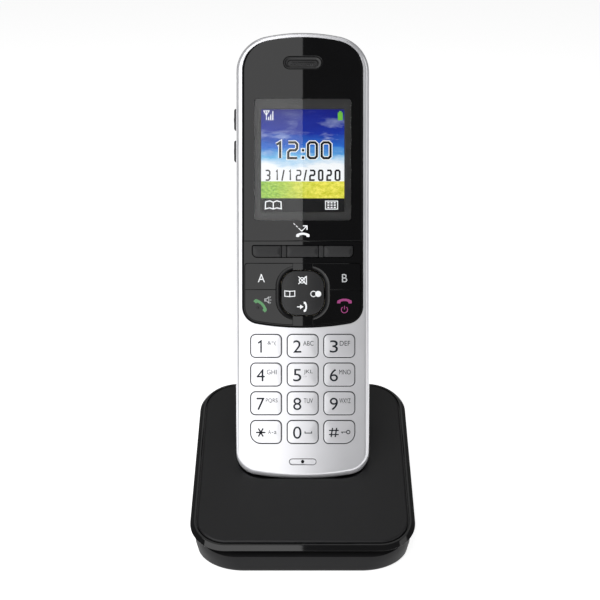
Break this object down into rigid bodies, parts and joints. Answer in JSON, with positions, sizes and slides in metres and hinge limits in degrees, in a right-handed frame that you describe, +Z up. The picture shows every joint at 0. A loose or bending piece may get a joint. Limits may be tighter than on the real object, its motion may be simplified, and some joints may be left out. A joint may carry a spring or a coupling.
{
  "type": "cordless phone with base",
  "caption": "Cordless telephone handset with display, keypad and side volume keys, leaning back in a charging base with line and power sockets.",
  "frame": {"origin": "centre of the base's footprint, on the plane that it stands on", "axes": "+Z up, +X to the viewer's right, +Y to the back; the handset's keys face -Y"},
  "size_m": [0.076, 0.103, 0.1657],
  "materials": {
    "silver_plastic": "satin painted silver",
    "panel_black": "piano black",
    "key_satin_black": "satin black key caps",
    "casing_black": "fine satin grain",
    "grille_grey": "satin dark grey",
    "display_glass": "colour display, lit",
    "frame_grey": "satin dark grey",
    "circuit_board": "solder mask",
    "silicone": "translucent silicone",
    "dome_film": "polyester film",
    "speaker_metal": "pressed metal",
    "contact_nickel": "nickel plate",
    "contact_gold": "gold-plated spring",
    "antenna_copper": "stamped strip",
    "screw_steel": "blackened steel",
    "cell_wrap": "printed cell wrap",
    "rim_black": "piano black",
    "jack_black": "moulded black",
    "foot_rubber": "matt rubber"
  },
  "bodies": {
    "base": {"base_top_cover": "casing_black", "base_rim": "rim_black", "base_bottom_shell": "casing_black", "base_pcb": "circuit_board", "line_jack": "jack_black", "dc_jack": "jack_black", "locator_switch": "circuit_board", "base_feet": "foot_rubber", "base_screws": "screw_steel", "base_antenna": "antenna_copper"},
    "handset": {"handset_front_housing": "silver_plastic", "display_lens": "panel_black", "function_bezel": "panel_black", "earpiece_grille": "grille_grey", "handset_rear_housing": "casing_black", "battery_cell_left": "cell_wrap", "battery_cell_right": "cell_wrap", "battery_contacts": "contact_nickel", "handset_pcb": "circuit_board", "lcd_module": "display_glass", "lcd_frame": "frame_grey", "earpiece_speaker": "speaker_metal", "ringer_speaker": "speaker_metal", "microphone": "speaker_metal", "keypad_mat": "silicone", "dome_sheet": "dome_film", "handset_charge_contacts": "contact_nickel", "handset_antenna": "antenna_copper", "handset_screws": "screw_steel", "volume_switch_board": "circuit_board"},
    "battery_cover": {"battery_cover": "casing_black"},
    "key_1": {"key_1": "silver_plastic"},
    "key_2": {"key_2": "silver_plastic"},
    "key_3": {"key_3": "silver_plastic"},
    "key_4": {"key_4": "silver_plastic"},
    "key_5": {"key_5": "silver_plastic"},
    "key_6": {"key_6": "silver_plastic"},
    "key_7": {"key_7": "silver_plastic"},
    "key_8": {"key_8": "silver_plastic"},
    "key_9": {"key_9": "silver_plastic"},
    "key_star": {"key_star": "silver_plastic"},
    "key_0": {"key_0": "silver_plastic"},
    "key_hash": {"key_hash": "silver_plastic"},
    "softkey_left": {"softkey_left": "key_satin_black"},
    "softkey_middle": {"softkey_middle": "key_satin_black"},
    "softkey_right": {"softkey_right": "key_satin_black"},
    "key_a": {"key_a": "panel_black"},
    "key_talk": {"key_talk": "panel_black"},
    "key_b": {"key_b": "panel_black"},
    "key_off": {"key_off": "panel_black"},
    "nav_pivot": {"nav_pivot": "grille_grey"},
    "nav_key": {"nav_key": "key_satin_black"},
    "volume_up_key": {"volume_up_key": "key_satin_black"},
    "volume_down_key": {"volume_down_key": "key_satin_black"},
    "charge_contact_left": {"charge_contact_left": "contact_gold"},
    "charge_contact_right": {"charge_contact_right": "contact_gold"},
    "locator_button": {"locator_button": "key_satin_black"}
  },
  "joints": [
    {"name": "handset_lift", "type": "slide", "parent": "base", "child": "handset", "axis": [0, 0.342, 0.9397], "range_m": [0, 0.06]},
    {"name": "battery_cover_pull", "type": "slide", "parent": "handset", "child": "battery_cover", "axis": [0, 0.9397, -0.342], "range_m": [0, 0.015]},
    {"name": "key_1_press", "type": "slide", "parent": "handset", "child": "key_1", "axis": [0, 0.9397, -0.342], "range_m": [0, 0.0004], "stiffness_N_per_m": 2000},
    {"name": "key_2_press", "type": "slide", "parent": "handset", "child": "key_2", "axis": [0, 0.9397, -0.342], "range_m": [0, 0.0004], "stiffness_N_per_m": 2000},
    {"name": "key_3_press", "type": "slide", "parent": "handset", "child": "key_3", "axis": [0, 0.9397, -0.342], "range_m": [0, 0.0004], "stiffness_N_per_m": 2000},
    {"name": "key_4_press", "type": "slide", "parent": "handset", "child": "key_4", "axis": [0, 0.9397, -0.342], "range_m": [0, 0.0004], "stiffness_N_per_m": 2000},
    {"name": "key_5_press", "type": "slide", "parent": "handset", "child": "key_5", "axis": [0, 0.9397, -0.342], "range_m": [0, 0.0004], "stiffness_N_per_m": 2000},
    {"name": "key_6_press", "type": "slide", "parent": "handset", "child": "key_6", "axis": [0, 0.9397, -0.342], "range_m": [0, 0.0004], "stiffness_N_per_m": 2000},
    {"name": "key_7_press", "type": "slide", "parent": "handset", "child": "key_7", "axis": [0, 0.9397, -0.342], "range_m": [0, 0.0004], "stiffness_N_per_m": 2000},
    {"name": "key_8_press", "type": "slide", "parent": "handset", "child": "key_8", "axis": [0, 0.9397, -0.342], "range_m": [0, 0.0004], "stiffness_N_per_m": 2000},
    {"name": "key_9_press", "type": "slide", "parent": "handset", "child": "key_9", "axis": [0, 0.9397, -0.342], "range_m": [0, 0.0004], "stiffness_N_per_m": 2000},
    {"name": "key_star_press", "type": "slide", "parent": "handset", "child": "key_star", "axis": [0, 0.9397, -0.342], "range_m": [0, 0.0004], "stiffness_N_per_m": 2000},
    {"name": "key_0_press", "type": "slide", "parent": "handset", "child": "key_0", "axis": [0, 0.9397, -0.342], "range_m": [0, 0.0004], "stiffness_N_per_m": 2000},
    {"name": "key_hash_press", "type": "slide", "parent": "handset", "child": "key_hash", "axis": [0, 0.9397, -0.342], "range_m": [0, 0.0004], "stiffness_N_per_m": 2000},
    {"name": "softkey_left_press", "type": "slide", "parent": "handset", "child": "softkey_left", "axis": [0, 0.9397, -0.342], "range_m": [0, 0.0004], "stiffness_N_per_m": 2000},
    {"name": "softkey_middle_press", "type": "slide", "parent": "handset", "child": "softkey_middle", "axis": [0, 0.9397, -0.342], "range_m": [0, 0.0004], "stiffness_N_per_m": 2000},
    {"name": "softkey_right_press", "type": "slide", "parent": "handset", "child": "softkey_right", "axis": [0, 0.9397, -0.342], "range_m": [0, 0.0004], "stiffness_N_per_m": 2000},
    {"name": "key_a_press", "type": "slide", "parent": "handset", "child": "key_a", "axis": [0, 0.9397, -0.342], "range_m": [0, 0.0004], "stiffness_N_per_m": 2000},
    {"name": "key_talk_press", "type": "slide", "parent": "handset", "child": "key_talk", "axis": [0, 0.9397, -0.342], "range_m": [0, 0.0004], "stiffness_N_per_m": 2000},
    {"name": "key_b_press", "type": "slide", "parent": "handset", "child": "key_b", "axis": [0, 0.9397, -0.342], "range_m": [0, 0.0004], "stiffness_N_per_m": 2000},
    {"name": "key_off_press", "type": "slide", "parent": "handset", "child": "key_off", "axis": [0, 0.9397, -0.342], "range_m": [0, 0.0004], "stiffness_N_per_m": 2000},
    {"name": "nav_left_right", "type": "hinge", "parent": "handset", "child": "nav_pivot", "pos_m": [0, 0.01821, 0.07907], "axis": [0, 0.342, 0.9397], "range_deg": [-2.5, 2.5], "stiffness_Nm_per_rad": 0.2},
    {"name": "nav_up_down", "type": "hinge", "parent": "nav_pivot", "child": "nav_key", "pos_m": [0, 0.01821, 0.07907], "axis": [1, 0, 0], "range_deg": [-2.5, 2.5], "stiffness_Nm_per_rad": 0.2},
    {"name": "volume_up_key_press", "type": "slide", "parent": "handset", "child": "volume_up_key", "axis": [1, 0, 0], "range_m": [0, 0.0004], "stiffness_N_per_m": 2000},
    {"name": "volume_down_key_press", "type": "slide", "parent": "handset", "child": "volume_down_key", "axis": [1, 0, 0], "range_m": [0, 0.0004], "stiffness_N_per_m": 2000},
    {"name": "charge_contact_left_press", "type": "slide", "parent": "base", "child": "charge_contact_left", "axis": [0, -0.342, -0.9397], "range_m": [0, 0.0006], "stiffness_N_per_m": 1000},
    {"name": "charge_contact_right_press", "type": "slide", "parent": "base", "child": "charge_contact_right", "axis": [0, -0.342, -0.9397], "range_m": [0, 0.0006], "stiffness_N_per_m": 1000},
    {"name": "locator_button_press", "type": "slide", "parent": "base", "child": "locator_button", "axis": [0, -1, 0], "range_m": [0, 0.0005], "stiffness_N_per_m": 2000}
  ]
}
